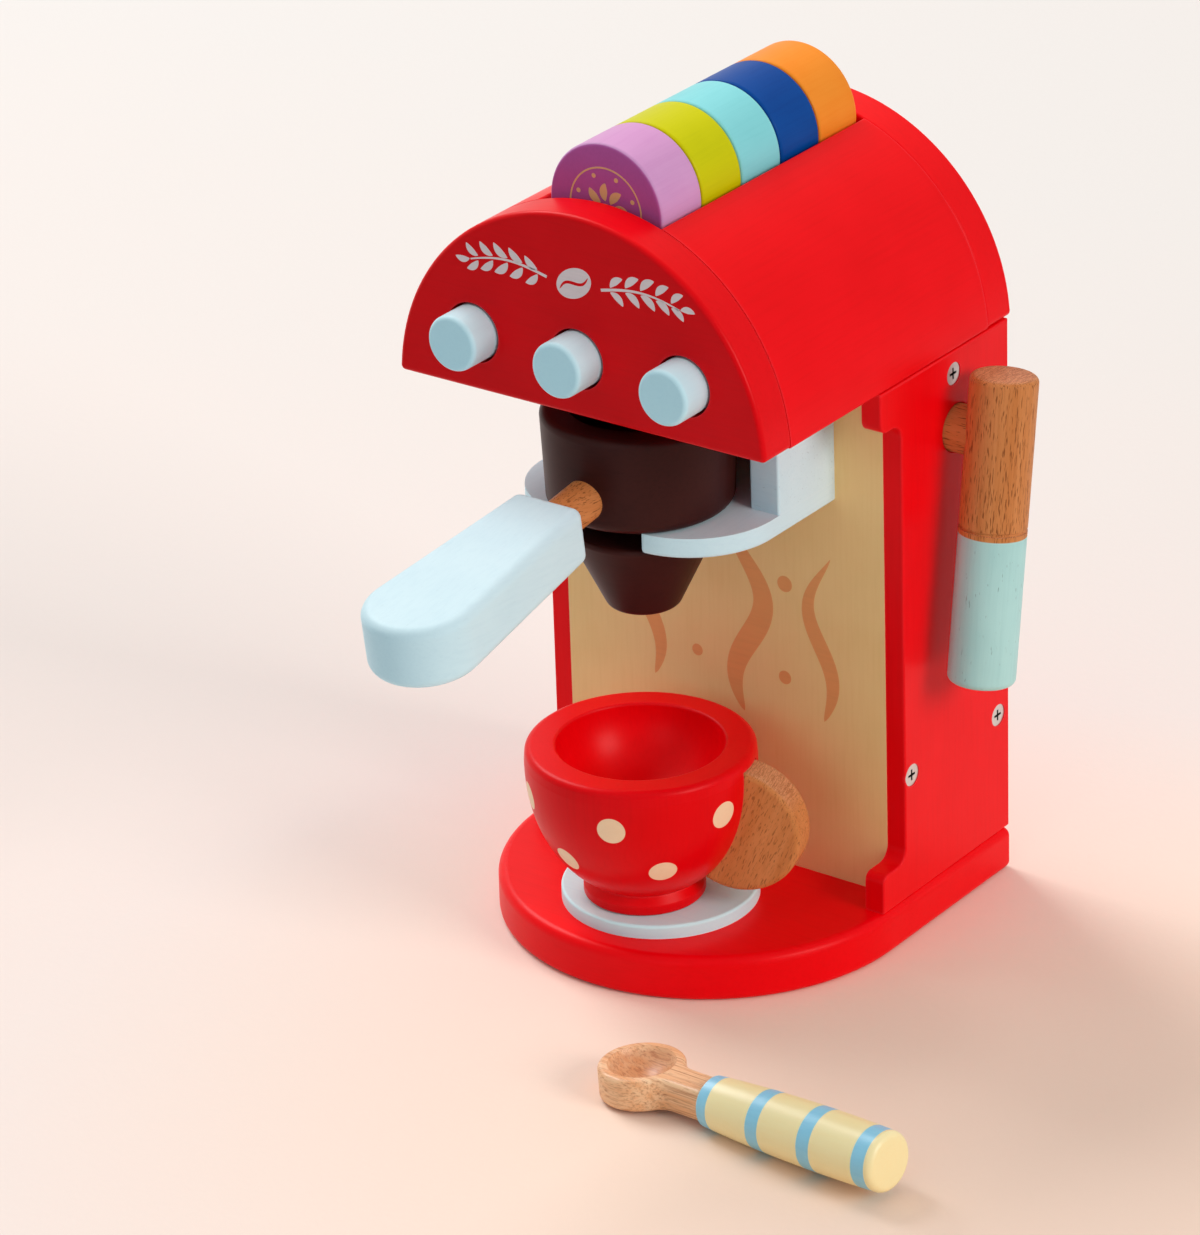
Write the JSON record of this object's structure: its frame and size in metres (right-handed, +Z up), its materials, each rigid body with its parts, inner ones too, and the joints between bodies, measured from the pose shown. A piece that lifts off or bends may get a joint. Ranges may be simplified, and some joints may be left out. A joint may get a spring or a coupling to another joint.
{
  "type": "toy coffee maker",
  "caption": "Toy coffee maker with a barrel-topped housing, push buttons, a swinging lever, a slide-in filter, coffee pods in a top slot, a cup on a rest and a scoop.",
  "frame": {"origin": "middle of the base board's underside, on the axis of its round nose", "axes": "+Z up, +X to the machine's right as its lever side, -Y the front with the buttons and the filter handle"},
  "size_m": [0.2101, 0.2209, 0.2602],
  "materials": {
    "red_painted_wood": "red satin paint over wood",
    "light_blue_painted_wood": "light blue satin paint over wood",
    "brown_painted_wood": "dark brown satin paint over wood",
    "cream_painted_panel": "warm cream satin paint over wood, with a painted curl",
    "beech": "clear-lacquered beech, half of the lever painted pale teal",
    "plain_wood": "bare wood, hidden inside the housing",
    "white_painted_disc": "pale grey-blue satin paint over wood",
    "lavender_paint": "lavender satin paint over wood",
    "lime_paint": "lime satin paint over wood",
    "turquoise_paint": "turquoise satin paint over wood",
    "blue_paint": "dark blue satin paint over wood",
    "orange_paint": "orange satin paint over wood",
    "striped_paint": "cream satin paint with blue bands over wood",
    "screw_steel": "bright zinc plating",
    "spring_steel": "bare spring wire"
  },
  "bodies": {
    "machine": {"base_board": "red_painted_wood", "side_panel_left": "red_painted_wood", "side_panel_right": "red_painted_wood", "splash_panel": "cream_painted_panel", "rear_panel": "red_painted_wood", "top_rail": "plain_wood", "face_plate": "red_painted_wood", "back_plate": "red_painted_wood", "barrel_cover_left": "red_painted_wood", "barrel_cover_right": "red_painted_wood", "housing_floor": "red_painted_wood", "trough_side_left": "red_painted_wood", "trough_side_right": "red_painted_wood", "trough_floor": "red_painted_wood", "spring_board": "plain_wood", "fork_plate": "light_blue_painted_wood", "fork_block_left": "light_blue_painted_wood", "fork_block_right": "light_blue_painted_wood", "cup_rest": "white_painted_disc", "side_screws": "screw_steel", "base_screws": "screw_steel", "rail_screws": "screw_steel", "fork_screws": "screw_steel", "button_spring_left": "spring_steel", "button_spring_middle": "spring_steel", "button_spring_right": "spring_steel"},
    "button_left": {"button_left": "light_blue_painted_wood"},
    "button_middle": {"button_middle": "light_blue_painted_wood"},
    "button_right": {"button_right": "light_blue_painted_wood"},
    "steam_lever": {"lever_bar": "beech", "lever_hub": "beech", "lever_washer": "screw_steel", "lever_screw": "screw_steel"},
    "filter_carrier": {"filter_spout": "brown_painted_wood"},
    "filter": {"filter_bowl": "brown_painted_wood", "filter_dowel": "beech", "filter_handle": "light_blue_painted_wood"},
    "cup": {"cup_body": "red_painted_wood", "cup_handle": "beech"},
    "pod_lavender": {"pod_lavender": "lavender_paint"},
    "pod_lime": {"pod_lime": "lime_paint"},
    "pod_turquoise": {"pod_turquoise": "turquoise_paint"},
    "pod_blue": {"pod_blue": "blue_paint"},
    "pod_orange": {"pod_orange": "orange_paint"},
    "scoop": {"scoop_bowl": "beech", "scoop_handle": "striped_paint"}
  },
  "joints": [
    {"name": "press_left", "type": "slide", "parent": "machine", "child": "button_left", "axis": [0, 1, 0], "range_m": [0, 0.007], "stiffness_N_per_m": 150, "springref_m": -0.004, "deforming": ["button_spring_left"]},
    {"name": "press_middle", "type": "slide", "parent": "machine", "child": "button_middle", "axis": [0, 1, 0], "range_m": [0, 0.007], "stiffness_N_per_m": 150, "springref_m": -0.004, "deforming": ["button_spring_middle"]},
    {"name": "press_right", "type": "slide", "parent": "machine", "child": "button_right", "axis": [0, 1, 0], "range_m": [0, 0.007], "stiffness_N_per_m": 150, "springref_m": -0.004, "deforming": ["button_spring_right"]},
    {"name": "lever_swing", "type": "hinge", "parent": "machine", "child": "steam_lever", "pos_m": [0.0795, 0.0383, 0.1576], "axis": [1, 0, 0], "continuous": true},
    {"name": "filter_slide", "type": "slide", "parent": "machine", "child": "filter_carrier", "axis": [0, -1, 0], "range_m": [0, 0.09]},
    {"name": "filter_turn", "type": "hinge", "parent": "filter_carrier", "child": "filter", "pos_m": [0, -0.031, 0.1601], "axis": [0, 0, 1], "range_deg": [-80, 80]},
    {"name": "cup_slide", "type": "slide", "parent": "machine", "child": "cup", "axis": [0, -1, 0], "range_m": [0, 0.11]},
    {"name": "lift_pod_lavender", "type": "slide", "parent": "machine", "child": "pod_lavender", "axis": [0, 0, 1], "range_m": [0, 0.05]},
    {"name": "lift_pod_lime", "type": "slide", "parent": "machine", "child": "pod_lime", "axis": [0, 0, 1], "range_m": [0, 0.05]},
    {"name": "lift_pod_turquoise", "type": "slide", "parent": "machine", "child": "pod_turquoise", "axis": [0, 0, 1], "range_m": [0, 0.05]},
    {"name": "lift_pod_blue", "type": "slide", "parent": "machine", "child": "pod_blue", "axis": [0, 0, 1], "range_m": [0, 0.05]},
    {"name": "lift_pod_orange", "type": "slide", "parent": "machine", "child": "pod_orange", "axis": [0, 0, 1], "range_m": [0, 0.05]},
    {"name": "lift_scoop", "type": "slide", "parent": "machine", "child": "scoop", "axis": [0, 0, 1], "range_m": [0, 0.1]}
  ]
}
